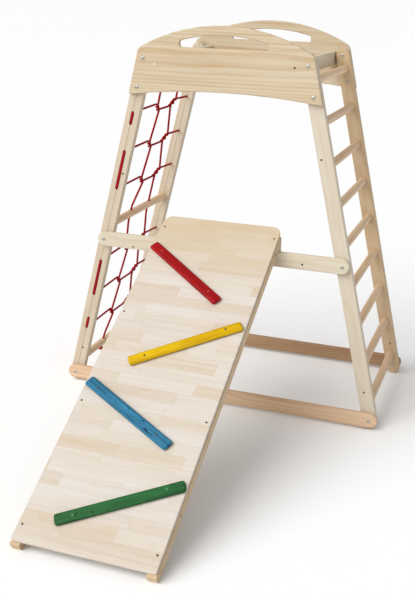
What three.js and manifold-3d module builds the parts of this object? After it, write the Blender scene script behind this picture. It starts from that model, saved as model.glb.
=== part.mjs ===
// Wooden climbing tower with a hook-on ramp, a rope net side and a ladder side.
// Millimetres, +Z up, ramp toward -Y, ladder side toward +X, net side toward -X.
import * as THREE from 'three';
import Module from 'manifold-3d';
import { mergeVertices } from 'three/addons/utils/BufferGeometryUtils.js';

// ---------- driving dimensions ----------
const foot_half_width = 656;      // post centre line from the middle, at the floor
const post_lean = 13.5;           // degrees each post leans inward
const post_width = 58;
const post_thickness = 28;
const post_top = 1430;            // centre of the rounded top end, along the post
const tower_depth = 624;          // front of front posts to back of back posts
const edge_round = 3;             // softened edge of every board

const rung_diameter = 32;
const rung_pitch = 160;           // along the post
const lowest_rung = 96;           // along the post
const rung_seat = 18;             // depth of a rung's blind hole

const panel_thickness = 18;
const panel_foot = 1253;          // height of the lower corners
const panel_lower_rise = 26;      // lower edge is higher by this in the middle
const panel_crown = 1520;         // highest point of the arch
const panel_rise = 84.6;          // crown above the ends of the arch
const panel_shoulder = 92;        // crown height above the shoulders
const panel_band = 35;            // wood left above the hand slot
const slot_floor = 1438;
const slot_half_length = 174;
const slot_end = 22;              // straight height of the slot's ends

const beam_height = 60;
const beam_thickness = 20;
const mid_beam_height = 660;      // centre line above the floor
const mid_beam_past = 27.45;      // beam past the posts' centre lines
const low_beam_height = 41;
const low_beam_past = 33.84;

const crossboard_width = 28;
const crossboard_height = 56;
const crossboard_offset = 274;    // centre line from the middle
const crossboard_level = 1378;

const bolt_diameter = 8;
const bolt_head = 14;
const bolt_levels = [1318, 1430]; // panel bolts, along the post
const bolt_dome = 3.2;            // rise of a bolt's domed head
const past = 5;                   // how far a cutting tool runs past a face

const rope_diameter = 8;
const rope_play = 0.7;            // clearance round a rope in wood
const groove_depth = 7;
const groove_play = 2.7;          // clearance on each side of the rope in its groove
const front_upright = { top: 245, knot: [245, 270], middle: 218, bottom: 233 };
const rear_upright = { top: 448, knot: [446, 398], middle: 413, bottom: 410 };
const knot_drop = [2, -25];       // start and end of a knot, from its row

const ramp_length = 1470;
const ramp_overrun = 94;          // board past its seat on the beam
const ramp_half_width = 243;
const ramp_board = 11;
const ramp_corner = 38;           // upper corners of the board
const rail_width = 34;
const rail_height = 35;
const rail_overhang = 10;         // rail past the lower end of the board
const rail_foot_run = 12;         // rail past the point where it meets the floor
const hook_reach = 26;            // hook behind the front of the posts
const hook_drop = 24;
const rail_end_round = 16;        // rounded upper end of the rail
const seat_depth = 2;             // beam corner let into the rail
const batten_width = 34;
const batten_height = 22;
const batten_places = [['bottom', 205], ['top', ramp_length - 125]];  // along the ramp
const cleat_length = 420;
const cleat_width = 41;
const cleat_height = 15;
const cleat_round = 4;            // rounded top edges of a cleat
const board_round = 1.5;          // softened edge of the board
const play = 0.3;                 // clearance between fitted pieces

const round_sides = 20;           // sides of rungs and their holes
const small_sides = 10;           // sides of bolts and their holes

const cleats = [                  // name, colour, sideways, share of the board's length, turn
  ['green', 0x2c7148, 55, 0.1299, 29.4],
  ['blue', 0x2f82b4, -47, 0.3531, -28.5],
  ['yellow', 0xe0b414, 54, 0.5701, 33.2],
  ['red', 0xb90f19, -62, 0.7966, -35.7],
];
const board_screw_rows = [57, 0.3660 * ramp_length, 0.6449 * ramp_length, ramp_length - 65];
const board_screw_offset = 227;

// ---------- solids and outlines ----------
const manifold = await Module();
manifold.setup();

const radians = THREE.MathUtils.degToRad;
const lean = radians(post_lean);
const beam_top = mid_beam_height + beam_height / 2;
const slope = Math.asin((beam_top - seat_depth) / (ramp_length - ramp_overrun));

function to_solid(geometry) {
  const bare = geometry.clone();
  bare.deleteAttribute('normal');
  bare.deleteAttribute('uv');
  const welded = mergeVertices(bare, 1e-4);
  const corners = [];
  for (let i = 0; i < welded.index.count; i += 3) {
    const [a, b, c] = welded.index.array.slice(i, i + 3);
    if (a !== b && b !== c && c !== a) corners.push(a, b, c);  // drops slivers at a turned piece's axis
  }
  return new manifold.Manifold(new manifold.Mesh({
    numProp: 3,
    vertProperties: new Float32Array(welded.attributes.position.array),
    triVerts: new Uint32Array(corners),
  }));
}

function to_geometry(solid) {
  const mesh = solid.getMesh();
  const geometry = new THREE.BufferGeometry();
  const places = [];
  for (let i = 0; i < mesh.vertProperties.length; i += mesh.numProp) {
    places.push(...mesh.vertProperties.slice(i, i + 3));
  }
  geometry.setAttribute('position', new THREE.Float32BufferAttribute(places, 3));
  geometry.setIndex([...mesh.triVerts]);
  geometry.computeVertexNormals();
  return geometry;
}

function cut(geometry, tools) {
  const remainder = tools.reduce((left, tool) => left.subtract(to_solid(tool)), to_solid(geometry));
  return to_geometry(remainder);
}

// Closed outline from corners [x, y, radius]; a radius rounds its corner with short chords.
function outline(corners, chords = 5) {
  const points = [];
  const add = (point) => {
    if (!points.length || points.at(-1).distanceTo(point) > 0.01) points.push(point);
  };
  corners.forEach(([x, y, radius = 0], i) => {
    const corner = new THREE.Vector2(x, y);
    if (!radius) return add(corner);
    const toward = (other) => new THREE.Vector2(other[0], other[1]).sub(corner).normalize();
    const back = toward(corners.at(i - 1));
    const ahead = toward(corners[(i + 1) % corners.length]);
    const half = Math.acos(THREE.MathUtils.clamp(back.dot(ahead), -1, 1)) / 2;
    const centre = back.clone().add(ahead).normalize().multiplyScalar(radius / Math.sin(half)).add(corner);
    const start = back.multiplyScalar(radius / Math.tan(half)).add(corner).sub(centre);
    const end = ahead.multiplyScalar(radius / Math.tan(half)).add(corner).sub(centre);
    let sweep = end.angle() - start.angle();
    if (sweep > Math.PI) sweep -= 2 * Math.PI;
    if (sweep < -Math.PI) sweep += 2 * Math.PI;
    for (let j = 0; j <= chords; j += 1) {
      add(start.clone().rotateAround(new THREE.Vector2(), sweep * j / chords).add(centre));
    }
  });
  if (points[0].distanceTo(points.at(-1)) < 0.01) points.pop();
  return new THREE.Shape(points);
}

// Points of a wide arch, from one half width to the other, highest in the middle.
function arch(half_width, crown, radius, pieces) {
  const points = [];
  for (let i = 0; i <= pieces; i += 1) {
    const x = half_width - 2 * half_width * i / pieces;
    points.push([x, crown - radius + Math.sqrt(radius * radius - x * x)]);
  }
  return points;
}

// Radius of a full round end, leaving a millimetre flat between its two corners.
const round_end = (width) => (width - 1) / 2;

// Flat piece standing in X-Z: thickness runs from y = 0 toward +Y, edges softened.
function upright(shape, thickness, soft = edge_round) {
  const geometry = new THREE.ExtrudeGeometry(shape, {
    depth: thickness - 2 * soft,
    bevelEnabled: soft > 0,
    bevelThickness: soft,
    bevelSize: soft,
    bevelOffset: -soft,
    bevelSegments: 1,
    curveSegments: 6,
  });
  geometry.translate(0, 0, soft);
  geometry.rotateX(Math.PI / 2);
  geometry.translate(0, thickness, 0);
  return geometry;
}

// Rectangle centred on the origin with rounded corners.
function rectangle(width, height, radius = 0, chords = 5) {
  return outline([[-width / 2, -height / 2, radius], [width / 2, -height / 2, radius],
    [width / 2, height / 2, radius], [-width / 2, height / 2, radius]], chords);
}

// Round bar along +Y from y0 to y1, centred on (x, z).
function bar_y(diameter, x, z, y0, y1, sides = round_sides) {
  const geometry = new THREE.CylinderGeometry(diameter / 2, diameter / 2, y1 - y0, sides);
  geometry.translate(x, (y0 + y1) / 2, z);
  return geometry;
}

function block(width, depth, height, x, y, z) {
  const geometry = new THREE.BoxGeometry(width, depth, height);
  geometry.translate(x, y, z);
  return geometry;
}

// ---------- materials and placing ----------
const finish = {
  pine: { color: 0xdccbaf, roughness: 0.6, metalness: 0 },
  board: { color: 0xe4d8c8, roughness: 0.62, metalness: 0 },
  beech: { color: 0xcfae85, roughness: 0.55, metalness: 0 },
  rope: { color: 0x96192a, roughness: 0.85, metalness: 0 },
  steel: { color: 0xb8b8b4, roughness: 0.35, metalness: 0.9 },
};

const tower = new THREE.Group();
tower.name = 'tower';
const ramp = new THREE.Group();
ramp.name = 'ramp';
const sides = {};
for (const [name, sign] of [['left', -1], ['right', 1]]) {
  const side = new THREE.Group();
  side.name = `side_${name}`;
  side.position.set(sign * foot_half_width, 0, 0);
  side.rotation.y = -sign * lean;
  sides[name] = side;
  tower.add(side);
}

function place(parent, name, geometry, look, x = 0, y = 0, z = 0) {
  const mesh = new THREE.Mesh(geometry, new THREE.MeshStandardMaterial(look));
  mesh.name = name;
  mesh.position.set(x, y, z);
  parent.add(mesh);
  return mesh;
}

const along = (height) => height / Math.cos(lean);       // height above floor, measured up a post
const rung_level = (number) => lowest_rung + (number - 1) * rung_pitch;
const rope_rows = [2, 3, 4, 6, 7, 8];
const rope_hole = rope_diameter + 2 * rope_play;
const rear_face = tower_depth - post_thickness;

// ---------- four leaning posts ----------
const foot_centre = post_width / 2 / Math.cos(lean);
const rung_numbers = { left: [1, 5, 9], right: [1, 2, 3, 4, 5, 6, 7, 8, 9] };
const bolt_rows = { front: [along(low_beam_height), along(mid_beam_height), ...bolt_levels],
  back: [along(low_beam_height), ...bolt_levels] };
const tail_run = 48;              // free end of the net rope, along the groove
const tail_depth = 18;            // free end's depth in its own hole
const rope_grooves = {            // let into the outer faces where the crosswise rope turns back
  front: [[rung_level(8) - tail_run, rung_level(8)], [rung_level(6), rung_level(7)],
    [rung_level(3), rung_level(4)], [rung_level(2), rung_level(2) + tail_run]],
  back: [[rung_level(7), rung_level(8)], [rung_level(4), rung_level(6)], [rung_level(2), rung_level(3)]],
};

for (const [row, y] of [['front', 0], ['back', rear_face]]) {
  for (const side of ['left', 'right']) {
    const middle = (foot_centre + post_top) / 2;
    const half = (post_top - foot_centre + post_width) / 2;
    const blank = upright(rectangle(post_width, 2 * half, round_end(post_width), 5), post_thickness);
    blank.translate(0, 0, middle);
    const seat = row === 'front' ? [post_thickness - rung_seat, post_thickness + past] : [-past, rung_seat];
    const tools = rung_numbers[side].map((n) => bar_y(rung_diameter + 2 * play, 0, rung_level(n), ...seat));
    for (const w of bolt_rows[row]) {
      tools.push(bar_y(bolt_diameter + 2 * play, 0, w, -past, post_thickness + past, small_sides));
    }
    if (side === 'left') {
      const outside = row === 'front' ? 0 : post_thickness;
      for (const n of rope_rows) {
        tools.push(bar_y(rope_hole, 0, rung_level(n), -past, post_thickness + past, small_sides));
      }
      for (const [low, high] of rope_grooves[row]) {
        const width = rope_diameter + 2 * groove_play;
        tools.push(block(width, 2 * groove_depth, high - low, 0, outside, (low + high) / 2));
      }
      if (row === 'front') {
        tools.push(bar_y(rope_hole, 0, rung_level(8) - tail_run, -past, tail_depth + 2, small_sides));
        tools.push(bar_y(rope_hole, 0, rung_level(2) + tail_run, -past, tail_depth + 2, small_sides));
      }
    }
    place(sides[side], `post_${row}_${side}`, cut(blank, tools), finish.pine, 0, y, 0);
  }
}

// ---------- arched top panels with a hand slot ----------
const outer_edge = (z) => foot_half_width + post_width / 2 / Math.cos(lean) - z * Math.tan(lean);
const shoulder = panel_crown - panel_shoulder;
const crown_half = outer_edge(shoulder) - 12;
const foot_half = outer_edge(panel_foot);
const lower_radius = foot_half ** 2 / (2 * panel_lower_rise) + panel_lower_rise / 2;
const lower_arch = arch(foot_half - 14, panel_foot + panel_lower_rise, lower_radius, 8).reverse();
const crown_radius = crown_half ** 2 / (2 * panel_rise) + panel_rise / 2;
const upper_arch = arch(crown_half, panel_crown, crown_radius, 16);
const panel_shape = outline([
  [-foot_half, panel_foot, 6], ...lower_arch, [foot_half, panel_foot, 6],
  [outer_edge(shoulder - 6), shoulder - 6, 14], ...upper_arch,
  [-outer_edge(shoulder - 6), shoulder - 6, 14],
]);
const slot_arch = arch(slot_half_length - 10, panel_crown - panel_band, crown_radius - panel_band, 8);
panel_shape.holes.push(new THREE.Path(outline([
  [-slot_half_length, slot_floor, 8], [slot_half_length, slot_floor, 8],
  [slot_half_length, slot_floor + slot_end, 9], ...slot_arch,
  [-slot_half_length, slot_floor + slot_end, 9],
]).getPoints().reverse()));

const bolt_x = (w) => foot_half_width - w * Math.sin(lean);
const bolt_z = (w) => w * Math.cos(lean);
for (const [row, y] of [['front', -panel_thickness], ['back', tower_depth]]) {
  const tools = bolt_levels.flatMap((w) => [-1, 1].map((sign) => bar_y(bolt_diameter + 2 * play,
    sign * bolt_x(w), bolt_z(w), -past, panel_thickness + past, small_sides)));
  place(tower, `top_panel_${row}`, cut(upright(panel_shape, panel_thickness), tools), finish.pine, 0, y, 0);
}

// ---------- crossboards joining the two panels ----------
for (const [name, sign] of [['left', -1], ['right', 1]]) {
  const section = rectangle(crossboard_width, crossboard_height, edge_round, 3);
  place(tower, `top_crossboard_${name}`, upright(section, tower_depth, 0), finish.pine,
    sign * crossboard_offset, 0, crossboard_level);
}

// ---------- beams with rounded ends ----------
const beams = [
  ['mid_beam', mid_beam_past, -beam_thickness, mid_beam_height],
  ['bottom_beam_front', low_beam_past, -beam_thickness, low_beam_height],
  ['bottom_beam_back', low_beam_past, tower_depth, low_beam_height],
];
for (const [name, past_post, y, z] of beams) {
  const half = bolt_x(along(z)) + past_post;
  const tools = [-1, 1].map((sign) =>
    bar_y(bolt_diameter + 2 * play, sign * bolt_x(along(z)), 0, -past, beam_thickness + past, small_sides));
  const blank = upright(rectangle(2 * half, beam_height, round_end(beam_height), 5), beam_thickness);
  place(tower, name, cut(blank, tools), finish.pine, 0, y, z);
}

// ---------- rungs, held in blind holes ----------
for (const side of ['left', 'right']) {
  for (const n of rung_numbers[side]) {
    const ends = [post_thickness - rung_seat + play, rear_face + rung_seat - play];
    let rung = bar_y(rung_diameter, 0, 0, ...ends);
    if (side === 'left') {
      const stage = { 1: 'bottom', 5: 'middle', 9: 'top' }[n];
      const holes = [front_upright[stage], rear_upright[stage]].map((y) => {
        const hole = bar_y(rope_hole, 0, 0, -rung_diameter, rung_diameter, small_sides);
        hole.rotateX(Math.PI / 2);
        hole.translate(0, y, 0);
        return hole;
      });
      rung = cut(rung, holes);
    }
    place(sides[side], `rung_${side}_${n}`, rung, finish.beech, 0, 0, rung_level(n));
  }
}

// ---------- through bolts with sleeve nuts ----------
// Domed head in front, shank, and a domed sleeve nut behind; turned about +Y.
function through_bolt(length) {
  const r = bolt_diameter / 2;
  const head = bolt_head / 2;
  const shoulder_x = head - bolt_dome / 2;
  const shoulder_y = 0.75 * bolt_dome;
  const profile = [[0, -bolt_dome], [shoulder_x, -shoulder_y], [head, 0], [r, 0], [r, length],
    [head, length], [shoulder_x, length + shoulder_y], [0, length + bolt_dome]];
  return new THREE.LatheGeometry(profile.map(([x, y]) => new THREE.Vector2(x, y)), small_sides);
}

function fit_bolt(name, parent, y, w, length) {
  place(parent, name, through_bolt(length), finish.steel, 0, y, w);
}

for (const side of ['left', 'right']) {
  const panel_grip = panel_thickness + post_thickness;
  const beam_grip = beam_thickness + post_thickness;
  bolt_levels.forEach((w, i) => {
    const level = ['lower', 'upper'][i];
    fit_bolt(`panel_bolt_front_${side}_${level}`, sides[side], -panel_thickness, w, panel_grip);
    fit_bolt(`panel_bolt_back_${side}_${level}`, sides[side], rear_face, w, panel_grip);
  });
  fit_bolt(`mid_beam_bolt_${side}`, sides[side], -beam_thickness, along(mid_beam_height), beam_grip);
  fit_bolt(`bottom_bolt_front_${side}`, sides[side], -beam_thickness, along(low_beam_height), beam_grip);
  fit_bolt(`bottom_bolt_back_${side}`, sides[side], rear_face, along(low_beam_height), beam_grip);
}

// ---------- rope net on the left side ----------
// A rope follows its listed points; every listed point carries one ring of the tube.
class RopeRoute extends THREE.Curve {
  constructor(points) {
    super();
    this.points = points;
  }

  getPoint(t, target = new THREE.Vector3()) {
    const place_on = THREE.MathUtils.clamp(t, 0, 1) * (this.points.length - 1);
    const i = Math.min(Math.floor(place_on + 1e-6), this.points.length - 2);
    return target.copy(this.points[i]).lerp(this.points[i + 1], THREE.MathUtils.clamp(place_on - i, 0, 1));
  }

  getPointAt(t, target) {
    return this.getPoint(t, target);
  }

  getTangentAt(t, target = new THREE.Vector3()) {
    const i = Math.round(t * (this.points.length - 1));
    const here = this.points[i];
    const before = this.points[i - 1];
    const after = this.points[i + 1];
    target.set(0, 0, 0);
    if (before) target.add(here.clone().sub(before).normalize());
    if (after) target.add(after.clone().sub(here).normalize());
    return target.normalize();
  }
}

// Route with each inner corner turned on a small radius.
function soften(points, radius, pieces) {
  const route = [points[0]];
  for (let i = 1; i < points.length - 1; i += 1) {
    const [before, corner, after] = points.slice(i - 1, i + 2);
    const back = before.clone().sub(corner);
    const ahead = after.clone().sub(corner);
    const reach = Math.min(radius, back.length() * 0.45, ahead.length() * 0.45);
    const start = corner.clone().add(back.setLength(reach));
    const end = corner.clone().add(ahead.setLength(reach));
    for (let j = 0; j <= pieces; j += 1) {
      const t = j / pieces;
      route.push(start.clone().multiplyScalar((1 - t) ** 2)
        .addScaledVector(corner, 2 * t * (1 - t)).addScaledVector(end, t * t));
    }
  }
  route.push(points.at(-1));
  return route;
}

function rope(points, radius, pieces) {
  const route = soften(points, radius, pieces);
  const section = new THREE.Shape();
  section.absarc(0, 0, rope_diameter / 2, 0, 2 * Math.PI);
  return new THREE.ExtrudeGeometry(section, {
    steps: route.length - 1,
    curveSegments: 4,
    bevelEnabled: false,
    extrudePath: new RopeRoute(route),
  });
}

const straight_run = 16;                                 // rope leaves a drilled rung straight
const part_gap = rope_diameter / 2 + 0.4;                // ropes pass side by side in a knot
const rope_point = (x, y, w) => new THREE.Vector3(x, y, w);

function upright_rope(line) {
  const points = [rope_point(0, line.top, rung_level(9) + rung_diameter / 2 + straight_run + 6)];
  for (let n = 9; n >= 1; n -= 1) {
    const w = rung_level(n);
    if (rope_rows.includes(n)) {
      points.push(rope_point(part_gap, line.knot[0], w + knot_drop[0]));
      points.push(rope_point(part_gap, line.knot[1], w + knot_drop[1]));
    } else {
      const y = line[{ 9: 'top', 5: 'middle', 1: 'bottom' }[n]];
      points.push(rope_point(0, y, w + rung_diameter / 2 + straight_run));
      points.push(rope_point(0, y, w - rung_diameter / 2 - straight_run));
    }
  }
  return rope(points, 14, 1);
}

function crosswise_rope() {
  const lay = groove_depth - rope_diameter / 2 - 0.4;    // rope centre below the post face
  const front = lay;
  const back = tower_depth - lay;
  const points = [rope_point(0, tail_depth, rung_level(8) - tail_run),
    rope_point(0, front, rung_level(8) - tail_run)];
  [...rope_rows].reverse().forEach((n, i) => {
    const w = rung_level(n);
    const knots = [
      [front_upright.knot[0], knot_drop[0]], [front_upright.knot[1], knot_drop[1]],
      [rear_upright.knot[1], knot_drop[1]], [rear_upright.knot[0], knot_drop[0]],
    ];
    const row = [rope_point(0, front, w), rope_point(0, post_thickness + 8, w),
      ...knots.map(([y, drop]) => rope_point(-part_gap, y, w + drop)),
      rope_point(0, rear_face - 8, w), rope_point(0, back, w)];
    points.push(...(i % 2 ? row.reverse() : row));
  });
  points.push(rope_point(0, front, rung_level(2) + tail_run),
    rope_point(0, tail_depth, rung_level(2) + tail_run));
  return rope(points, 3, 1);
}

place(sides.left, 'net_rope_front', upright_rope(front_upright), finish.rope);
place(sides.left, 'net_rope_rear', upright_rope(rear_upright), finish.rope);
place(sides.left, 'net_rope_crosswise', crosswise_rope(), finish.rope);

// ---------- hook-on ramp ----------
// Ramp frame: +Y runs up the slope from where the rail meets the floor, +Z off the board.
const ramp_start = -beam_thickness - (beam_top - seat_depth / Math.cos(slope)) / Math.tan(slope);
ramp.position.set(0, ramp_start, 0);
ramp.rotation.x = slope;
const on_ramp = (y, z) => [(y - ramp_start) * Math.cos(slope) + z * Math.sin(slope),
  -(y - ramp_start) * Math.sin(slope) + z * Math.cos(slope)];
const board_start = rail_overhang - rail_foot_run;
const rail_offset = ramp_half_width + 2 - rail_width / 2;

// Rail side view: floor cut, straight underside, seat over the beam, hook behind it.
const under = (y) => (y - ramp_start) * Math.tan(slope);
const beam_front = -beam_thickness - 0.5;
const head_top = (hook_reach - ramp_start + rail_height * Math.sin(slope)) / Math.cos(slope);
const rail_shape = outline([
  [0, 0, 2],
  on_ramp(beam_front, under(beam_front)),
  on_ramp(beam_front, beam_top + play),
  on_ramp(0.5, beam_top + play),
  [...on_ramp(0.5, beam_top - hook_drop), 6],
  [...on_ramp(hook_reach, beam_top - hook_drop), 12],
  [head_top, rail_height, rail_end_round],
  [-rail_foot_run, rail_height, 2],
  [-rail_foot_run, rail_foot_run * Math.tan(slope), 2],
]);

const screw_head = 8;
const screw_length = 34;
function board_screw(extra = 0) {
  const r = screw_head / 2 + extra;
  const shank = 1.9 + extra;
  const profile = [[0, -screw_length], [shank, -screw_length + 3], [shank, -3.2], [r, -0.6],
    [r, extra], [0, extra]];
  const geometry = new THREE.LatheGeometry(profile.map(([x, y]) => new THREE.Vector2(x, y)), 8);
  geometry.rotateX(Math.PI / 2);
  return geometry;
}
const board_top = rail_height + play + ramp_board;
const screw_places = board_screw_rows.flatMap((row, i) => [['left', -1], ['right', 1]].map(([side, sign]) => (
  { name: `board_screw_${side}_${i + 1}`, x: sign * board_screw_offset, y: board_start + row })));
const screw_holes = screw_places.map(({ x, y }) => {
  const hole = board_screw(0.25);
  hole.translate(x, y, board_top);
  return hole;
});

for (const [name, sign] of [['left', -1], ['right', 1]]) {
  const rail = new THREE.ExtrudeGeometry(rail_shape, { depth: rail_width, bevelEnabled: false });
  rail.translate(0, 0, -rail_width / 2);
  rail.rotateY(Math.PI / 2);
  rail.rotateX(Math.PI / 2);
  rail.translate(sign * rail_offset, 0, 0);
  const holes = screw_holes.filter((hole, i) => Math.sign(screw_places[i].x) === sign);
  place(ramp, `ramp_rail_${name}`, cut(rail, holes), finish.beech);
}

const board_shape = outline([
  [-ramp_half_width, board_start, 7], [ramp_half_width, board_start, 7],
  [ramp_half_width, board_start + ramp_length, ramp_corner],
  [-ramp_half_width, board_start + ramp_length, ramp_corner],
], 4);
const ramp_sheet = new THREE.ExtrudeGeometry(board_shape, { depth: ramp_board - 2 * board_round,
  bevelEnabled: true, bevelThickness: board_round, bevelSize: board_round, bevelOffset: -board_round,
  bevelSegments: 1 });
ramp_sheet.translate(0, 0, rail_height + play + board_round);
place(ramp, 'ramp_board', cut(ramp_sheet, screw_holes), finish.board);
for (const { name, x, y } of screw_places) {
  place(ramp, name, board_screw(), finish.steel, x, y, board_top);
}

for (const [name, y] of batten_places) {
  const length = 2 * (rail_offset - rail_width / 2 - play);
  place(ramp, `ramp_batten_${name}`, new THREE.BoxGeometry(length, batten_width, batten_height), finish.beech,
    0, y, rail_height - batten_height / 2);
}

// Painted cleats lie zig-zag across the board, top edges rounded over.
for (const [name, color, x, share, turn] of cleats) {
  const shape = rectangle(cleat_length, cleat_width, 8, 3);
  const cleat = new THREE.ExtrudeGeometry(shape, { depth: cleat_height - 2 * cleat_round, bevelEnabled: true,
    bevelThickness: cleat_round, bevelSize: cleat_round, bevelOffset: -cleat_round, bevelSegments: 2 });
  cleat.translate(0, 0, cleat_round);
  const mesh = place(ramp, `cleat_${name}`, cleat, { color, roughness: 0.42, metalness: 0 },
    x, board_start + share * ramp_length, board_top + play);
  mesh.rotation.z = radians(turn);
}

// ---------- whole object, centred over its footprint ----------
const group = new THREE.Group();
group.name = 'climbing_tower';
group.add(tower, ramp);
group.updateMatrixWorld(true);
const bounds = new THREE.Box3().setFromObject(group, true);
group.position.y = -(bounds.min.y + bounds.max.y) / 2;

export default group;
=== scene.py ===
# Wooden climbing tower for small children, with a hook-on ramp, a rope net side and a ladder side.
# Metres. The ramp runs out toward -Y, the ladder is toward +X and the net toward -X.
import math
import random

import bpy
from mathutils import Matrix, Vector


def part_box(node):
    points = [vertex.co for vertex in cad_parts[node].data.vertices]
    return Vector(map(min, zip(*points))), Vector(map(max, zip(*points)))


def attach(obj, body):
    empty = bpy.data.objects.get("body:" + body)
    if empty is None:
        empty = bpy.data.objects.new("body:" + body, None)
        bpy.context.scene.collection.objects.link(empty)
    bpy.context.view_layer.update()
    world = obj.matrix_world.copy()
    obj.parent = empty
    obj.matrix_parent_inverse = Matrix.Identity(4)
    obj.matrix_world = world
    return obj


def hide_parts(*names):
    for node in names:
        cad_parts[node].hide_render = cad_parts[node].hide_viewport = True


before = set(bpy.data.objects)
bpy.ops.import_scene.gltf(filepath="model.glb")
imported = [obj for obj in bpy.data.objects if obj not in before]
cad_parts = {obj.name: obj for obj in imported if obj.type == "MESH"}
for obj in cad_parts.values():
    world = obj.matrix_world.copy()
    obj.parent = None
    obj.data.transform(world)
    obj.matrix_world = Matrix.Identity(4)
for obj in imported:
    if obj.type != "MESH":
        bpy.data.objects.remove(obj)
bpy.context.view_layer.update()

bpy.ops.object.select_all(action="DESELECT")

# ---------------------------------------------------------------- camera
# Stands in front of the tower and to its right, a little above the crown, tipped 19 degrees down.
camera_yaw, camera_pitch, camera_roll = math.radians(-19.09), math.radians(19.2), math.radians(1.31)
sight = Vector((math.sin(camera_yaw) * math.cos(camera_pitch),
                math.cos(camera_yaw) * math.cos(camera_pitch), -math.sin(camera_pitch)))
level = Vector((math.cos(camera_yaw), -math.sin(camera_yaw), 0))
rise = level.cross(sight)
camera_right = level * math.cos(camera_roll) + rise * math.sin(camera_roll)
camera_up = rise * math.cos(camera_roll) - level * math.sin(camera_roll)
camera_lens = bpy.data.cameras.new("studio_camera")
camera_lens.lens = 55.03
camera = bpy.data.objects.new("studio_camera", camera_lens)
bpy.context.scene.collection.objects.link(camera)
camera.matrix_world = Matrix.Translation((1.1063, -3.0326, 1.6750)) @ Matrix(
    (camera_right, camera_up, -sight)).transposed().to_4x4()
bpy.context.scene.camera = camera

# ---------------------------------------------------------------- four leaning posts
# Planed softwood, 58 by 28 mm, leaning 13.5 degrees, with round ends and eased edges.
# The two on the net side are glued from two strips, which leaves a fine line down the middle.
lean = math.radians(13.5)
foot_half_width = 0.656
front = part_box("post_front_left")[0].y            # outer face of the front posts
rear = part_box("post_back_left")[1].y              # outer face of the back posts
post_thickness = 0.028


def on_side(side, x, y, w):
    """A point given across, behind the front face and up along the posts of one side."""
    sign = {"left": -1, "right": 1}[side]
    return Vector((sign * foot_half_width + x * math.cos(lean) - sign * w * math.sin(lean),
                   front + y, sign * x * math.sin(lean) + w * math.cos(lean)))


def up_side(side):
    """Direction up the posts of one side."""
    return Vector((math.sin(lean) * {"left": 1, "right": -1}[side], 0, math.cos(lean)))


class Wire:
    """A shader socket that can be used in sums."""

    def __init__(self, finish, socket):
        self.finish, self.socket = finish, socket

    def reckon(self, how, first, second=0.0):
        return self.finish.add("ShaderNodeMath", {"operation": how}, {0: first, 1: second})

    def __add__(self, other):
        return self.reckon("ADD", self, other)

    __radd__ = __add__

    def __sub__(self, other):
        return self.reckon("SUBTRACT", self, other)

    def __rsub__(self, other):
        return self.reckon("SUBTRACT", other, self)

    def __mul__(self, other):
        return self.reckon("MULTIPLY", self, other)

    __rmul__ = __mul__

    def __truediv__(self, other):
        return self.reckon("DIVIDE", self, other)

    def __pow__(self, other):
        return self.reckon("POWER", self, other)

    def does(self, how):
        return self.reckon(how, self)

    def between(self, low, high):
        """0 below low, 1 above high, smooth between."""
        return self.finish.add("ShaderNodeMapRange", {"interpolation_type": "SMOOTHSTEP"},
                               {"Value": self, "From Min": low, "From Max": high})


class Finish:
    """One material, built node by node."""

    def __init__(self, name):
        self.material = bpy.data.materials.new(name)
        self.material.use_nodes = True
        self.tree = self.material.node_tree
        self.surface = self.tree.nodes["Principled BSDF"]

    def feed(self, socket, value):
        if isinstance(value, Wire):
            self.tree.links.new(value.socket, socket)
        else:
            socket.default_value = value

    def add(self, kind, settings=None, values=None, out=0):
        node = self.tree.nodes.new(kind)
        for name, value in (settings or {}).items():
            setattr(node, name, value)
        for name, value in (values or {}).items():
            self.feed(node.inputs[name], value)
        return Wire(self, node.outputs[out])

    def blend(self, amount, first, second):
        """Colours mixed by an amount."""
        return self.add("ShaderNodeMix", {"data_type": "RGBA"}, {0: amount, 6: first, 7: second}, 2)

    def stretched(self, place, scale, detail=2.0, roughness=0.5):
        """Cloudy pattern, 0 to 1, drawn out by different scales along three directions."""
        spread = self.add("ShaderNodeVectorMath", {"operation": "MULTIPLY"}, {0: place, 1: scale})
        return self.add("ShaderNodeTexNoise", None,
                        {"Vector": spread, "Scale": 1.0, "Detail": detail, "Roughness": roughness})

    def parts(self, place):
        """The three numbers of a place."""
        node = self.add("ShaderNodeSeparateXYZ", None, {0: place})
        return [Wire(self, socket) for socket in node.socket.node.outputs]

    def place(self, x, y, z):
        return self.add("ShaderNodeCombineXYZ", None, {0: x, 1: y, 2: z})

    def cover(self, values, height=None, depth=0.0, strength=1.0):
        """Sets the surface; height is a pattern raised by depth."""
        for name, value in values.items():
            self.feed(self.surface.inputs[name], value)
        if height is not None:
            self.feed(self.surface.inputs["Normal"], self.add(
                "ShaderNodeBump", None, {"Strength": strength, "Distance": depth, "Height": height}))
        return self.material


def shade(code):
    """Linear colour from a paint card's hex code."""
    values = [int(code[i:i + 2], 16) / 255 for i in (0, 2, 4)]
    return [v / 12.92 if v < 0.04045 else ((v + 0.055) / 1.055) ** 2.4 for v in values] + [1.0]


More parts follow.
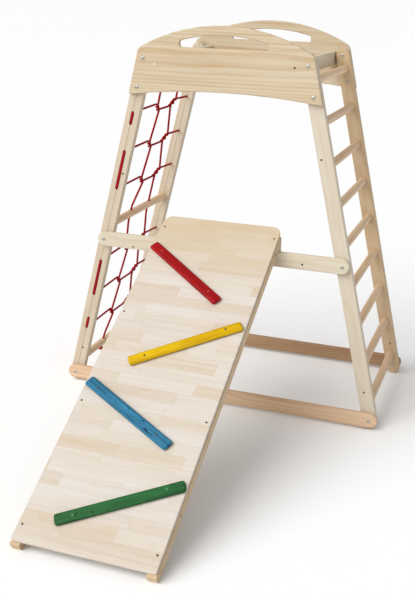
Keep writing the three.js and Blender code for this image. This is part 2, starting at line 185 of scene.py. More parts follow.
def wood(name, pale, deep, ring=0.004, figure=0.5, streaks=0.35, gloss=0.5, seam=False, pith=0.11,
         sway_by=1.0):
    """Oiled wood: growth rings cut by the saw, long fibres, slow changes of tone, and fine pores."""
    finish = Finish(name)
    grain = finish.add("ShaderNodeAttribute", {"attribute_name": "grain"}, None, "Vector")
    along, across, through = finish.parts(grain)
    if seam:
        along = along + across.reckon("GREATER_THAN", across, 0.0) * 4.7
        grain = finish.place(along, across, through)
    sway = finish.stretched(grain, (1.6, 3.0, 3.0), 2.0) - 0.5
    wander = finish.stretched(grain, (5.0, 14.0, 14.0), 2.0) - 0.5
    side_way = across + sway * (0.075 * sway_by) + wander * (0.006 * sway_by)
    deep_way = through + pith + sway * (0.05 * sway_by)
    rings = ((side_way * side_way + deep_way * deep_way) ** 0.5 / ring).does("FRACT")
    late_wood = rings.between(0.25, 0.92) * (1 - rings.between(0.93, 1.0))
    fibres = finish.stretched(grain, (9.0, 620.0, 620.0), 4.0, 0.6)
    streak = finish.stretched(grain, (2.2, 70.0, 70.0), 3.0, 0.55)
    tone = finish.stretched(grain, (1.4, 7.0, 7.0), 2.0)
    pores = finish.stretched(grain, (45.0, 1500.0, 1500.0), 1.0).between(0.66, 0.74)
    amount = late_wood * figure + (streak.between(0.35, 0.7) - 0.3) * streaks + (fibres - 0.5) * 0.5 \
        + (tone - 0.5) * 0.45 + pores * 0.16 + 0.1
    amount = amount.between(-0.15, 1.15)
    colour = finish.blend(amount, shade(pale), shade(deep))
    if seam:
        line = 1 - across.does("ABSOLUTE").between(0.0005, 0.0017)
        colour = finish.blend(line * 0.7, colour, shade("7c5f3d"))
    return finish.cover({"Base Color": colour, "Roughness": gloss + fibres * 0.16 - late_wood * 0.06,
                         "Specular IOR Level": 0.35},
                        fibres * 0.6 + late_wood * 0.25 - pores * 0.5, 0.0004, 0.35)


def ease(piece, width, segments=2, angle=30):
    """Rounds every edge of a piece that is sharper than the angle, and smooths its shading."""
    bpy.ops.object.select_all(action="DESELECT")
    bpy.context.view_layer.objects.active = piece
    piece.select_set(True)
    rounding = piece.modifiers.new("rounding", "BEVEL")
    rounding.width = width
    rounding.segments = segments
    rounding.limit_method = "ANGLE"
    rounding.angle_limit = math.radians(angle)
    bpy.ops.object.modifier_apply(modifier=rounding.name)
    bpy.ops.object.shade_smooth_by_angle(angle=math.radians(50))
    flatten = piece.modifiers.new("level faces", "WEIGHTED_NORMAL")
    flatten.keep_sharp = True
    flatten.weight = 100
    bpy.ops.object.modifier_apply(modifier=flatten.name)


def worked(node, name, width=0.0009):
    """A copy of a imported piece, its triangles merged back to flat faces and its edges eased."""
    bpy.ops.object.select_all(action="DESELECT")
    piece = bpy.data.objects.new(name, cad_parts[node].data.copy())
    piece.data.name = name
    bpy.context.scene.collection.objects.link(piece)
    bpy.context.view_layer.objects.active = piece
    piece.select_set(True)
    if piece.data.has_custom_normals:
        bpy.ops.mesh.customdata_custom_splitnormals_clear()
    bpy.ops.object.mode_set(mode="EDIT")
    bpy.ops.mesh.select_all(action="SELECT")
    bpy.ops.mesh.remove_doubles(threshold=0.00002)
    bpy.ops.mesh.dissolve_limited(angle_limit=math.radians(0.6))
    bpy.ops.object.mode_set(mode="OBJECT")
    ease(piece, width)
    return piece


def lay_grain(piece, along, face, centre, seed, centred=False):
    """Stores how far each point lies along the grain, across it and through the board."""
    along, face, centre = Vector(along).normalized(), Vector(face).normalized(), Vector(centre)
    across = face.cross(along)
    log = random.Random(seed)
    start = Vector((log.uniform(2, 90), 0 if centred else log.uniform(-0.05, 0.05), log.uniform(-0.03, 0.03)))
    places = []
    for corner in piece.data.vertices:
        way = corner.co - centre
        places += [way.dot(along) + start.x, way.dot(across) + start.y, way.dot(face) + start.z]
    piece.data.attributes.new("grain", "FLOAT_VECTOR", "POINT").data.foreach_set("vector", places)


def fit(piece, body, slot, look, *nodes):
    """Gives a piece its finish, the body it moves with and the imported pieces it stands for."""
    piece.data.materials.clear()
    piece.data.materials.append(look)
    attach(piece, body)
    if nodes:
        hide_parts(*nodes)
    return piece


strip_wood = wood("glued_strip_pine", "c9bca7", "b3997b", ring=0.0052, figure=0.18, streaks=0.22, seam=True)
post_wood = wood("post_pine", "ccc2b0", "b7a07f", ring=0.0056, figure=0.15, streaks=0.30)
# The rear right post is the same pine as the front one, coloured darker and browner: painted shade.
shaded_back_post_wood = wood("shaded_back_post_pine", "c7b090", "b19168", ring=0.0058, figure=0.22, streaks=0.34)
for number, (row, side) in enumerate([("front", "left"), ("front", "right"), ("back", "left"),
                                      ("back", "right")]):
    post = worked(f"post_{row}_{side}", f"{row}_{side}_post")
    lay_grain(post, up_side(side), (0, -1, 0), on_side(side, 0, 0, 0), 11 + number, centred=True)
    look = strip_wood if side == "left" else post_wood if row == "front" else shaded_back_post_wood
    fit(post, "tower", "post_wood", look, f"post_{row}_{side}")

# ---------------------------------------------------------------- arched top panels
# Pine board, 18 mm, grain running sideways, arched over the top and cut out for a hand grip.
panel_wood = wood("panel_pine", "c9baa0", "ae8e63", ring=0.0062, figure=0.36, streaks=0.34, gloss=0.46,
                  pith=0.16, sway_by=0.35)
for number, (row, face) in enumerate([("front", -1), ("back", 1)]):
    panel = worked(f"top_panel_{row}", f"{row}_top_panel", 0.0010)
    lay_grain(panel, (1, 0, 0), (0, face, 0), (0, front, 1.36), 31 + number)
    fit(panel, "tower", "panel_wood", panel_wood, f"top_panel_{row}")

# ---------------------------------------------------------------- crossboards between the panels
# Two short boards, 56 by 28 mm, screwed through the panels and plugged.
board_wood = wood("beam_pine", "cfc6b3", "b69d7a", ring=0.0060, figure=0.18, streaks=0.30)
for number, side in enumerate(["left", "right"]):
    crossboard = worked(f"top_crossboard_{side}", f"{side}_crossboard", 0.0006)
    lay_grain(crossboard, (0, 1, 0), (1, 0, 0), (0, 0, 1.378), 41 + number)
    fit(crossboard, "tower", "beam_wood", board_wood, f"top_crossboard_{side}")

# ---------------------------------------------------------------- beams with round ends
# 60 by 20 mm; one half way up the front for the ramp to hook on, and one low down at the front
# and at the back, these two in the same pine coloured darker and browner as painted shade, the back one most.
# Painted shade: the low beams get darker, browner copies of the pine, the back one darker still.
shaded_low_beam_wood = wood("shaded_low_beam_pine", "d6b99b", "bc9269", ring=0.0058, figure=0.38)
shaded_back_beam_wood = wood("shaded_back_beam_pine", "a68769", "926a45", ring=0.0058, figure=0.38)
for number, (beam_name, look) in enumerate([("mid_beam", board_wood), ("bottom_beam_front", shaded_low_beam_wood),
                                            ("bottom_beam_back", shaded_back_beam_wood)]):
    beam = worked(beam_name, f"{beam_name}_board")
    low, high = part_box(beam_name)
    lay_grain(beam, (1, 0, 0), (0, -1, 0), (low + high) / 2, 51 + number)
    fit(beam, "tower", "beam_wood", look, beam_name)

# ---------------------------------------------------------------- rungs
# Turned beech dowel, 32 mm, let into the posts. On the net side the upright ropes pass
# through three of them, in holes with a broken edge.
rung_pitch, lowest_rung, rung_radius = 0.160, 0.096, 0.0160
rung_seat = 0.0177                                # how deep a rung sits in a post
rope_hole = 0.0047                                # radius of the holes for the upright ropes
tower_depth = rear - front
rung_length = tower_depth - 2 * (post_thickness - rung_seat)
upright_ropes = {
    "front": {"top": 0.245, "knot": (0.245, 0.270), "middle": 0.218, "bottom": 0.233},
    "rear": {"top": 0.448, "knot": (0.446, 0.398), "middle": 0.413, "bottom": 0.410},
}


def rung_level(number):
    return lowest_rung + (number - 1) * rung_pitch


dowel_wood = wood("rung_beech", "dfc19f", "ba936a", ring=0.0035, figure=0.26, streaks=0.45, gloss=0.44,
                  pith=0.05)
for side, numbers in [("left", [1, 5, 9]), ("right", range(1, 10))]:
    for number in numbers:
        middle = on_side(side, 0, tower_depth / 2, rung_level(number))
        bpy.ops.mesh.primitive_cylinder_add(vertices=40, radius=rung_radius, depth=rung_length,
                                            location=middle, rotation=(math.pi / 2, 0, 0))
        rung = bpy.context.object
        rung.name = rung.data.name = f"{side}_dowel_{number}"
        bpy.ops.object.transform_apply(location=True, rotation=True, scale=True)
        if side == "left":
            stage = {1: "bottom", 5: "middle", 9: "top"}[number]
            for line in upright_ropes.values():
                bpy.ops.mesh.primitive_cylinder_add(
                    vertices=24, radius=rope_hole, depth=0.06, rotation=(0, lean, 0),
                    location=on_side(side, 0, line[stage], rung_level(number)))
                drill = bpy.context.object
                hole = rung.modifiers.new("hole", "BOOLEAN")
                hole.object = drill
                bpy.context.view_layer.objects.active = rung
                bpy.ops.object.modifier_apply(modifier=hole.name)
                bpy.data.objects.remove(drill)
        ease(rung, 0.0007, 2, 50)
        lay_grain(rung, (0, 1, 0), (1, 0, 0), middle, 60 + number + len(side))
        fit(rung, "tower", "rung_wood", dowel_wood, f"rung_{side}_{number}")

# ---------------------------------------------------------------- bolts with sleeve nuts
# Zinc plated, 8 mm, with a domed head and a domed sleeve nut, both with a hexagon socket.
# Modelled once for each grip and copied.
steel = Finish("zinc_plate")
spot = steel.add("ShaderNodeTexCoord", None, None, "Object")
cloud = steel.stretched(spot, (260.0, 260.0, 260.0), 3.0)
scuff = steel.stretched(spot, (900.0, 120.0, 900.0), 2.0)
zinc = steel.cover({"Base Color": steel.blend(cloud.between(0.3, 0.7), shade("9c9b95"), shade("cbcac4")),
                    "Metallic": 0.9, "Roughness": 0.26 + scuff * 0.2}, scuff, 0.0001, 0.3)


def domed_head():
    """A round head rising along +Z in three steps, with a hexagon socket."""
    bpy.ops.mesh.primitive_cylinder_add(vertices=32, radius=0.007, depth=0.0010, location=(0, 0, 0.0005))
    head = bpy.context.object
    bpy.ops.object.transform_apply(location=True, rotation=True, scale=True)
    bpy.ops.object.mode_set(mode="EDIT")
    bpy.ops.mesh.select_all(action="DESELECT")
    bpy.ops.object.mode_set(mode="OBJECT")
    for face in head.data.polygons:
        face.select = face.normal.z > 0.9
    bpy.ops.object.mode_set(mode="EDIT")
    for inward, lift in [(0.0007, 0.0008), (0.0012, 0.0006), (0.0016, 0.0003)]:
        bpy.ops.mesh.inset(thickness=inward, depth=lift)
    bpy.ops.object.mode_set(mode="OBJECT")
    bpy.ops.mesh.primitive_cylinder_add(vertices=6, radius=0.0035, depth=0.0050, location=(0, 0, 0.0028))
    key = bpy.context.object
    socket = head.modifiers.new("socket", "BOOLEAN")
    socket.object = key
    bpy.context.view_layer.objects.active = head
    bpy.ops.object.modifier_apply(modifier=socket.name)
    bpy.data.objects.remove(key)
    return head


def through_bolt(grip):
    """Head at the origin facing -Y, shank and sleeve nut behind it."""
    head, nut = domed_head(), domed_head()
    head.data.transform(Matrix.Rotation(math.pi / 2, 4, "X"))
    nut.data.transform(Matrix.Translation((0, grip, 0)) @ Matrix.Rotation(-math.pi / 2, 4, "X"))
    bpy.ops.mesh.primitive_cylinder_add(vertices=24, radius=0.004, depth=grip, location=(0, grip / 2, 0),
                                        rotation=(math.pi / 2, 0, 0))
    shank = bpy.context.object
    bpy.ops.object.transform_apply(location=True, rotation=True, scale=True)
    for part in (head, nut):
        part.select_set(True)
    bpy.context.view_layer.objects.active = shank
    bpy.ops.object.join()
    ease(shank, 0.00015, 2, 40)
    return shank


def copy_to(model, name, where):
    """Another of the same piece, with its own mesh, at a place."""
    piece = bpy.data.objects.new(name, model.data.copy())
    piece.data.name = name
    piece.data.transform(where)
    bpy.context.scene.collection.objects.link(piece)
    return piece


panel_thickness, beam_thickness = 0.018, 0.020
panel_grip, beam_grip = panel_thickness + post_thickness, beam_thickness + post_thickness
mid_beam_up, low_beam_up = 0.660 / math.cos(lean), 0.041 / math.cos(lean)   # along the post
panel_bolt, beam_bolt = through_bolt(panel_grip), through_bolt(beam_grip)
rear_inside = tower_depth - post_thickness
bolts = []
for side in ("left", "right"):
    for level_name, w in (("lower", 1.318), ("upper", 1.430)):
        bolts.append((f"panel_bolt_front_{side}_{level_name}", side, panel_bolt, -panel_thickness, w))
        bolts.append((f"panel_bolt_back_{side}_{level_name}", side, panel_bolt, rear_inside, w))
    bolts.append((f"mid_beam_bolt_{side}", side, beam_bolt, -beam_thickness, mid_beam_up))
    bolts.append((f"bottom_bolt_front_{side}", side, beam_bolt, -beam_thickness, low_beam_up))
    bolts.append((f"bottom_bolt_back_{side}", side, beam_bolt, rear_inside, low_beam_up))
for number, (node, side, model, y, w) in enumerate(bolts):
    turn = Matrix.Rotation(math.radians(17 * number), 4, "Y")
    bolt = copy_to(model, f"fitted_{node}", Matrix.Translation(on_side(side, 0, y, w)) @ turn)
    fit(bolt, "tower", "bolt_steel", zinc, node)
for model in (panel_bolt, beam_bolt):
    bpy.data.objects.remove(model)

# ---------------------------------------------------------------- small screws and plugs in the tower
# Dark chipboard screws with a cross recess near the feet and in the middle beam, and wood
# plugs over the screws that hold the crossboards.
dull = Finish("dark_screw")
grime = dull.stretched(dull.add("ShaderNodeTexCoord", None, None, "Object"), (500.0, 500.0, 500.0), 3.0)
dark_steel = dull.cover({"Base Color": dull.blend(grime.between(0.35, 0.65), shade("3f3529"),
                                                  shade("6f6250")),
                         "Metallic": 0.75, "Roughness": 0.38 + grime * 0.2})


def screw_head():
    """A flat head standing along +Z, its top at the origin, with a cross recess."""
    bpy.ops.mesh.primitive_cylinder_add(vertices=28, radius=0.0039, depth=0.0016, location=(0, 0, -0.0008))
    head = bpy.context.object
    bpy.ops.object.transform_apply(location=True, rotation=True, scale=True)
    for turn in (0, math.pi / 2):
        bpy.ops.mesh.primitive_cube_add(size=1, location=(0, 0, 0), rotation=(0, 0, turn))
        blade = bpy.context.object
        blade.scale = (0.0046, 0.0010, 0.0013)
        recess = head.modifiers.new("recess", "BOOLEAN")
        recess.object = blade
        bpy.context.view_layer.objects.active = head
        bpy.ops.object.modifier_apply(modifier=recess.name)
        bpy.data.objects.remove(blade)
    ease(head, 0.0002, 2, 40)
    return head


def facing(normal, spin=0.0):
    """Turn that brings +Z onto a face's normal."""
    return Vector((0, 0, 1)).rotation_difference(Vector(normal)).to_matrix().to_4x4() \
        @ Matrix.Rotation(spin, 4, "Z")


small_screw = screw_head()
tower_screws = [
    ("foot_screw_front_left", on_side("left", 0.003, 0, 0.157), (0, -1, 0)),
    ("foot_screw_front_right", on_side("right", -0.003, 0, 0.157), (0, -1, 0)),
    ("foot_screw_back_left", on_side("left", -0.006, rear_inside, 0.144), (0, -1, 0)),
    ("foot_screw_back_right", on_side("right", 0.006, rear_inside, 0.144), (0, -1, 0)),
    ("post_screw_front_left", on_side("left", 0.014, 0, 0.965), (0, -1, 0)),
    ("post_screw_front_right", on_side("right", -0.014, 0, 1.090), (0, -1, 0)),
    ("beam_screw_left", Vector((-0.365, front - beam_thickness, 0.641)), (0, -1, 0)),
    ("beam_screw_right", Vector((0.343, front - beam_thickness, 0.652)), (0, -1, 0)),
    ("panel_screw_front", Vector((0.273, front - panel_thickness, 1.384)), (0, -1, 0)),
    ("panel_screw_back", Vector((-0.273, rear + panel_thickness, 1.384)), (0, 1, 0)),
]
for number, (name, point, normal) in enumerate(tower_screws):
    proud = Vector(normal) * 0.0008
    screw = copy_to(small_screw, name, Matrix.Translation(point + proud) @ facing(normal, 0.7 * number))
    fit(screw, "tower", "screw_steel", dark_steel)

plug_wood = wood("plug_pine", "d6cdbc", "c4b090", ring=0.002, figure=0.3)
plug_radius, plug_below = 0.0055, 0.0011           # its middle lies this far below the face
bpy.ops.mesh.primitive_cylinder_add(vertices=32, radius=plug_radius, depth=0.0030)
plug_model = bpy.context.object
ease(plug_model, 0.0004, 2, 50)
for number, (name, point, normal) in enumerate([
        ("panel_plug_front", Vector((-0.275, front - panel_thickness, 1.371)), (0, -1, 0)),
        ("panel_plug_back", Vector((0.275, rear + panel_thickness, 1.371)), (0, 1, 0))]):
    sunk = Vector(normal) * -plug_below
    plug = copy_to(plug_model, name, Matrix.Translation(point + sunk) @ facing(normal))
    lay_grain(plug, (0.9, 0, 0.4), normal, point, 75 + number)
    fit(plug, "tower", "panel_wood", plug_wood)

# ---------------------------------------------------------------- rope net
# Braided polyester rope, crimson, 8.8 mm over the braid. Two upright ropes pass through the rungs and end in
# stopper knots; one long rope goes to and fro across the side, through the posts and along
# grooves in their outer faces, and is wound once round the upright rope at every crossing.
rope_radius = 0.0044
wind_radius = 0.0047
rope_rows = [2, 3, 4, 6, 7, 8]
groove_depth = 0.007
pressed_wider = 0.42                              # the rope lies flatter in its slots
tail_run, tail_depth = 0.048, 0.018
near = groove_depth - rope_radius - 0.0010
far = tower_depth - near


def rounded(points, radius, steps=6):
    """The route with each corner turned on a curve."""
    route = [points[0]]
    for before, corner, after in zip(points, points[1:], points[2:]):
        back, ahead = before - corner, after - corner
        reach = min(radius, back.length * 0.45, ahead.length * 0.45)
        start, end = corner + back.normalized() * reach, corner + ahead.normalized() * reach
        for i in range(steps + 1):
            t = i / steps
            route.append(start * (1 - t) ** 2 + corner * 2 * t * (1 - t) + end * t * t)
    return route + [points[-1]]


def winding(line, number, sign, steps=16):
    """One turn round the other rope, along the slant of a crossing."""
    start = Vector((0, line["knot"][0], rung_level(number) + 0.002))
    end = Vector((0, line["knot"][1], rung_level(number) - 0.025))
    slant = (end - start).normalized()
    aside = Vector((1, 0, 0))
    over = slant.cross(aside)
    points = []
    for i in range(steps + 1):
        turn = 2 * math.pi * i / steps
        points.append(start.lerp(end, i / steps)
                      + (aside * math.cos(turn) + over * math.sin(turn)) * wind_radius * sign)
    return points


def stopper(y, w, way):
    """An overhand knot pulled tight, at the end of an upright rope."""
    points = []
    for i in range(34):
        t = 0.28 + (2 * math.pi - 0.56) * i / 33
        points.append(Vector((0.0043 * (math.cos(t) - 2 * math.cos(2 * t)),
                              y + 0.0043 * (math.sin(t) + 2 * math.sin(2 * t)),
                              w + way * (0.0052 * math.sin(3 * t) - 0.004 * (i / 33 - 0.5)))))
    return points


def rope_piece(name, points):
    """A tube along the route, with a map of metres along it and turns around it."""
    route = [on_side("left", *p) for p in points]
    curve = bpy.data.curves.new(name, "CURVE")
    curve.dimensions = "3D"
    curve.bevel_depth = rope_radius
    curve.bevel_resolution = 4
    spline = curve.splines.new("POLY")
    spline.points.add(len(route) - 1)
    spline.points.foreach_set("co", [n for p in route for n in (*p, 1)])
    for i, size in ((0, 0.05), (1, 0.8), (len(route) - 2, 0.8), (len(route) - 1, 0.05)):
        spline.points[i].radius = size
    piece = bpy.data.objects.new(name, curve)
    bpy.context.scene.collection.objects.link(piece)
    bpy.ops.object.select_all(action="DESELECT")
    bpy.context.view_layer.objects.active = piece
    piece.select_set(True)
    bpy.ops.object.convert(target="MESH")
    piece = bpy.context.object
    sides = len(piece.data.vertices) // len(route)
    width_way = (on_side("left", 1, 0, 0) - on_side("left", 0, 0, 0)).normalized()
    for corner in piece.data.vertices:
        y = points[corner.index // sides].y
        if min(abs(y - near), abs(y - far)) < 0.00001:
            corner.co += width_way * (corner.co - route[corner.index // sides]).dot(width_way) * pressed_wider
    gone = [0.0]
    for here, there in zip(route, route[1:]):
        gone.append(gone[-1] + (there - here).length)
    chart = piece.data.uv_layers.get("lay") or piece.data.uv_layers.new(name="lay")
    for face in piece.data.polygons:
        turns = [piece.data.loops[i].vertex_index % sides for i in face.loop_indices]
        for i, turn in zip(face.loop_indices, turns):
            wraps = turn == 0 and sides - 1 in turns
            chart.data[i].uv = (gone[piece.data.loops[i].vertex_index // sides],
                                1.0 if wraps else turn / sides)
    bpy.ops.object.shade_smooth_by_angle(angle=math.radians(60))
    return piece


cord = Finish("crimson_braid")
run, turn_round = cord.parts(cord.add("ShaderNodeUVMap", {"uv_map": "lay"}))[:2]
plait_a = (run * (2 * math.pi / 0.0085) + turn_round * (2 * math.pi * 3)).does("SINE")
plait_b = (run * (2 * math.pi / 0.0085) - turn_round * (2 * math.pi * 3)).does("SINE")
plait_relief_and_shade = (plait_a * plait_b * 0.5 + 0.5).between(0.05, 0.95)
yarn = cord.stretched(cord.add("ShaderNodeTexCoord", None, None, "Object"), (1400.0, 1400.0, 1400.0), 2.0)
wear = cord.stretched(cord.add("ShaderNodeTexCoord", None, None, "Object"), (14.0, 14.0, 14.0), 2.0)
# The colour runs from a shaded crimson in the braid's hollows to a lit crimson on its crowns: painted shade,
# mixed with random yarn and patch tone.
rope_look = cord.cover({
    "Base Color": cord.blend((plait_relief_and_shade * 0.6 + yarn * 0.3 + wear * 0.3).between(0.2, 1.0),
                             shade("560410"), shade("bd0a15")),
    "Roughness": 0.74 + yarn * 0.2, "Specular IOR Level": 0.2},
    plait_relief_and_shade + yarn * 0.3, 0.0009, 0.7)

for row, line in upright_ropes.items():
    top_end = rung_level(9) + rung_radius + 0.022
    low_end = rung_level(1) - rung_radius - 0.020
    route = [*reversed(stopper(line["top"], top_end, -1)), Vector((0, line["top"], top_end - 0.006))]
    for number in range(9, 0, -1):
        if number in rope_rows:
            route += winding(line, number, 1)
        else:
            y = line[{9: "top", 5: "middle", 1: "bottom"}[number]]
            route.append(Vector((0, y, rung_level(number) + rung_radius + (0.008 if number == 9 else 0.020))))
            route.append(Vector((0, y, rung_level(number) - rung_radius - (0.008 if number == 1 else 0.020))))
    route += stopper(line["bottom"], low_end, -1)
    fit(rope_piece(f"{row}_upright_rope", rounded(route, 0.010, 4)), "tower", "net_rope", rope_look,
        f"net_rope_{row}")

route = [Vector((0, tail_depth, rung_level(8) - tail_run)), Vector((0, near, rung_level(8) - tail_run))]
for i, number in enumerate(reversed(rope_rows)):
    w = rung_level(number)
    across_row = [Vector((0, near, w)), Vector((0, post_thickness + 0.008, w)),
                  *winding(upright_ropes["front"], number, -1),
                  *reversed(winding(upright_ropes["rear"], number, -1)),
                  Vector((0, rear_inside - 0.008, w)), Vector((0, far, w))]
    route += reversed(across_row) if i % 2 else across_row
route += [Vector((0, near, rung_level(2) + tail_run)), Vector((0, tail_depth, rung_level(2) + tail_run))]
fit(rope_piece("crosswise_rope", rounded(route, 0.004, 4)), "tower", "net_rope", rope_look,
    "net_rope_crosswise")

# ---------------------------------------------------------------- ramp rails and battens
# Two beech rails, 34 by 35 mm, cut flat to the floor at the foot and notched into a hook that
# drops behind the middle beam; two battens join them under the board.
slope = math.radians(30)
rail_height, board_thickness = 0.035, 0.011
ramp_foot = front - 0.020 - (0.690 - 0.002 / math.cos(slope)) / math.tan(slope)
board_start, board_top = -0.002, rail_height + 0.0003 + board_thickness
on_ramp = Matrix.Translation((0, ramp_foot, 0)) @ Matrix.Rotation(slope, 4, "X")
up_ramp, off_ramp = on_ramp.to_3x3() @ Vector((0, 1, 0)), on_ramp.to_3x3() @ Vector((0, 0, 1))
rail_wood = wood("rail_beech", "ceb795", "ae8e6d", ring=0.0042, figure=0.36, streaks=0.4, gloss=0.47)
for number, side in enumerate(["left", "right"]):
    rail = worked(f"ramp_rail_{side}", f"{side}_rail", 0.0012)
    lay_grain(rail, up_ramp, (1, 0, 0), on_ramp @ Vector((0, 0, 0.017)), 81 + number)
    fit(rail, "ramp", "ramp_rail_wood", rail_wood, f"ramp_rail_{side}")
for number, name in enumerate(["bottom", "top"]):
    batten = worked(f"ramp_batten_{name}", f"{name}_batten", 0.0015)
    lay_grain(batten, (1, 0, 0), off_ramp, (0, 0, 0), 85 + number)
    fit(batten, "ramp", "ramp_rail_wood", rail_wood, f"ramp_batten_{name}")

# ---------------------------------------------------------------- ramp board
# Rubberwood, 11 mm, glued from staves 47 mm wide that run across the ramp. Each stave is
# joined end to end from shorter lengths, so the tone changes from block to block.
stave_width = 0.047
board = Finish("glued_staves")
grain = board.add("ShaderNodeAttribute", {"attribute_name": "grain"}, None, "Vector")
sideways, uphill, through = board.parts(grain)
row_number = (uphill / stave_width).does("FLOOR")
in_row = (uphill / stave_width).does("FRACT")
row_chance = board.add("ShaderNodeTexWhiteNoise", {"noise_dimensions": "1D"}, {"W": row_number * 1.37 + 3.1})
block_length = 0.23 + row_chance * 0.16
block_way = sideways / block_length + row_chance * 7.3 + 9
block_number = block_way.does("FLOOR")
in_block = block_way.does("FRACT")
block = board.add("ShaderNodeTexWhiteNoise", {"noise_dimensions": "2D"},
                  {"Vector": board.place(block_number, row_number, 0.0)})
shifted = board.place(sideways + block * 13.0, uphill + row_number * 0.31, through + block * 0.7)
sway = board.stretched(shifted, (2.4, 9.0, 9.0), 2.0) - 0.5
rings = ((uphill + block * 0.4 + sway * 0.030) / 0.0068).does("FRACT")
late_wood = rings.between(0.3, 0.9) * (1 - rings.between(0.9, 1.0))
fibres = board.stretched(shifted, (14.0, 700.0, 700.0), 4.0, 0.6)
flecks = board.stretched(shifted, (34.0, 900.0, 900.0), 1.0).between(0.62, 0.72)
streak = board.stretched(shifted, (3.0, 60.0, 60.0), 3.0)
tone = (block.between(0.0, 1.0) - 0.5) * 0.27 + (streak - 0.5) * 0.6 + late_wood * 0.16 \
    + (fibres - 0.5) * 0.45 + flecks * 0.14 + 0.42
glue = (in_row - 0.5).does("ABSOLUTE").between(0.484, 0.498)
butt = (in_block - 0.5).does("ABSOLUTE").between(0.4965, 0.4995)
warm = board.blend(row_chance.between(0.2, 0.9), shade("c0aa8a"), shade("bfaa90"))
colour = board.blend(tone.between(-0.1, 1.1), shade("d5d1cc"), warm)
colour = board.blend(uphill.between(1.55, 1.95) * 0.55, colour, shade("c3ae88"))
colour = board.blend(glue * 0.22 + butt * 0.22, colour, shade("9b7a55"))
stave_look = board.cover({"Base Color": colour, "Roughness": 0.5 + fibres * 0.15,
                          "Specular IOR Level": 0.35},
                         fibres * 0.5 - glue * 0.6 - butt * 0.5, 0.0003, 0.3)
ramp_face = worked("ramp_board", "ramp_surface_board", 0.0007)
places = []
for corner in ramp_face.data.vertices:
    local = on_ramp.inverted() @ corner.co
    places += [local.x, local.y + 0.5, local.z]
ramp_face.data.attributes.new("grain", "FLOAT_VECTOR", "POINT").data.foreach_set("vector", places)
fit(ramp_face, "ramp", "ramp_board_wood", stave_look, "ramp_board")

# ---------------------------------------------------------------- screws through the board
# Four rows of countersunk screws, flush with the board, down into the rails.
screw_rows, screw_aside = [0.057, 0.538, 0.948, 1.405], 0.227
rail_outside, rail_middle = 0.2457, 0.021
for i, s in enumerate(screw_rows):
    for side, sign in (("left", -1), ("right", 1)):
        seat = on_ramp @ Matrix.Translation((sign * screw_aside, board_start + s, board_top + 0.0001)) \
            @ Matrix.Rotation(0.9 * i + sign, 4, "Z")
        screw = copy_to(small_screw, f"countersunk_{side}_{i + 1}", seat)
        fit(screw, "ramp", "screw_steel", dark_steel, f"board_screw_{side}_{i + 1}")
for side, sign in (("left", -1), ("right", 1)):
    for end, s in (("low", 0.205), ("high", 1.345)):
        seat = on_ramp @ Matrix.Translation((sign * rail_outside, s, rail_middle)) @ facing((sign, 0, 0), 0.4)
        screw = copy_to(small_screw, f"batten_screw_{side}_{end}", seat)
        fit(screw, "ramp", "screw_steel", dark_steel)

# ---------------------------------------------------------------- painted cleats
# Beech strips, 420 by 41 by 15 mm, with rounded ends and top edges, stained red, yellow, blue
# and green so that the grain still shows, and laid zig-zag across the board.
cleat_length, cleat_width, cleat_height = 0.420, 0.041, 0.015
cleat_gap = 0.0003                                # between a cleat and the board
cleat_fixing = 0.150                              # from the middle of a cleat to its screws


def stain(name, bright, dark, marks=0.0, gloss=0.38):
    """Coloured stain over wood: darker in the open grain, with some dark marks."""
    finish = Finish(name)
    grain = finish.add("ShaderNodeAttribute", {"attribute_name": "grain"}, None, "Vector")
    along, across, through = finish.parts(grain)
    fibres = finish.stretched(grain, (10.0, 520.0, 520.0), 4.0, 0.6)
    streak = finish.stretched(grain, (3.5, 95.0, 95.0), 3.0)
    clouds = finish.stretched(grain, (9.0, 26.0, 26.0), 3.0)
    knots = finish.stretched(grain, (22.0, 80.0, 80.0), 2.0).between(0.64, 0.72)
    amount = (fibres - 0.5) * 0.8 + (streak - 0.45) * 1.5 + (clouds - 0.5) * 0.7 + 0.35 + knots * marks
    colour = finish.blend(amount.between(-0.2, 1.25), shade(bright), shade(dark))
    return finish.cover({"Base Color": colour, "Roughness": gloss + fibres * 0.14,
                         "Specular IOR Level": 0.16}, fibres * 0.8 - knots * 0.2, 0.0003, 0.35)


def cleat_blank():
    """A strip lying along X on z = 0, corners and top edges rounded with bevels."""
    bpy.ops.mesh.primitive_cube_add(size=1, location=(0, 0, cleat_height / 2))
    strip = bpy.context.object
    strip.scale = (cleat_length, cleat_width, cleat_height)
    bpy.ops.object.transform_apply(location=True, rotation=True, scale=True)
    for chosen, width, steps in (
            (lambda a, b: abs(a.z - b.z) > 0.01, 0.0085, 6),
            (lambda a, b: min(a.z, b.z) > cleat_height - 1e-5, 0.0042, 4),
            (lambda a, b: max(a.z, b.z) < 1e-5, 0.0008, 2)):
        bpy.ops.object.mode_set(mode="EDIT")
        bpy.ops.mesh.select_all(action="DESELECT")
        bpy.ops.object.mode_set(mode="OBJECT")
        corners = strip.data.vertices
        for edge in strip.data.edges:
            edge.select = chosen(corners[edge.vertices[0]].co, corners[edge.vertices[1]].co)
        bpy.ops.object.mode_set(mode="EDIT")
        bpy.ops.mesh.select_mode(type="EDGE")
        bpy.ops.mesh.bevel(offset=width, segments=steps, affect="EDGES")
        bpy.ops.object.mode_set(mode="OBJECT")
    bpy.ops.object.shade_smooth_by_angle(angle=math.radians(35))
    return strip


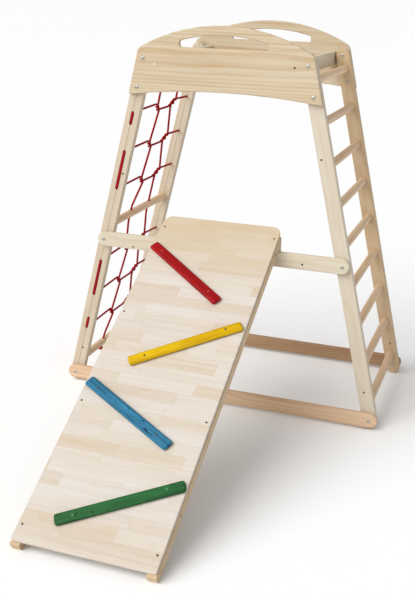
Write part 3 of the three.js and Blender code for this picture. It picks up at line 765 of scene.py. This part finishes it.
green_plug = stain("green_plug", "4a8a5c", "28633c")
pale_pin = wood("pale_pin", "e2a08c", "c4402f", figure=0.2)
cleat_model = cleat_blank()
cleats = [
    ("green", 0.055, 0.191, 29.4, stain("green_stain", "2e6c39", "0d2c15", 0.5, 0.46), green_plug, 0.0052),
    ("blue", -0.047, 0.519, -28.5, stain("blue_stain", "3a84a7", "0e384e", 0.9, 0.46), dark_steel, 0.0),
    ("yellow", 0.054, 0.838, 33.2, stain("yellow_stain", "dcba02", "b07c00", 0.25), dark_steel, 0.0),
    ("red", -0.062, 1.171, -35.7, stain("red_stain", "a8040a", "6b0206", 0.2), pale_pin, 0.0020),
]
for number, (name, x, s, turn, look, pin_look, pin_size) in enumerate(cleats):
    where = on_ramp @ Matrix.Translation((x, board_start + s, board_top + cleat_gap)) \
        @ Matrix.Rotation(math.radians(turn), 4, "Z")
    lay_grain(cleat_model, (1, 0, 0), (0, 0, 1), (0, 0, 0), 91 + number)
    cleat = copy_to(cleat_model, f"{name}_strip", where)
    cleat_model.data.attributes.remove(cleat_model.data.attributes["grain"])
    fit(cleat, "ramp", f"cleat_{name}_paint", look, f"cleat_{name}")
    for end, way in (("near", -1), ("far", 1)):
        spot_at = where @ Matrix.Translation((way * cleat_fixing, 0.002 * way, cleat_height))
        if pin_size:
            pin = copy_to(plug_model, f"{name}_plug_{end}", spot_at @ Matrix.Translation((0, 0, -plug_below))
                          @ Matrix.Diagonal((pin_size / plug_radius, pin_size / plug_radius, 1, 1)))
            lay_grain(pin, up_ramp, off_ramp, spot_at.translation, 97 + number)
            fit(pin, "ramp", f"cleat_{name}_paint", pin_look)
        else:
            screw = copy_to(small_screw, f"{name}_screw_{end}", spot_at @ Matrix.Translation((0, 0, 0.0007)))
            fit(screw, "ramp", "screw_steel", pin_look)
for model in (cleat_model, plug_model, small_screw):
    bpy.data.objects.remove(model)

# ---------------------------------------------------------------- floor and light
# White studio floor, one large soft light high on the left in front, a weak one on the right,
# and even light from all round.
floor_paint = Finish("studio_floor")
floor_look = floor_paint.cover({"Base Color": (0.92, 0.92, 0.92, 1), "Roughness": 0.9})
bpy.ops.mesh.primitive_plane_add(size=400, location=(0, 0, -0.0004))
floor = bpy.context.object
floor.name = "studio_floor"
floor.data.materials.append(floor_look)
for name, place, spread, power in (
        ("key_light", (-3.4, -4.2, 4.6), 0.9, 2.95),
        ("fill_light", (3.0, -3.5, 3.0), 1.2, 0.16)):
    lamp_data = bpy.data.lights.new(name, "SUN")
    lamp_data.angle = spread
    lamp_data.energy = power
    lamp = bpy.data.objects.new(name, lamp_data)
    bpy.context.scene.collection.objects.link(lamp)
    lamp.location = place
    lamp.rotation_euler = (-Vector(place)).to_track_quat("-Z", "Y").to_euler()
surround = bpy.data.worlds.new("studio_surround")
surround.use_nodes = True
surround.node_tree.nodes["Background"].inputs["Color"].default_value = (1.0, 1.0, 1.0, 1)
surround.node_tree.nodes["Background"].inputs["Strength"].default_value = 0.46
bpy.context.scene.world = surround
bpy.context.scene.view_settings.view_transform = "Standard"
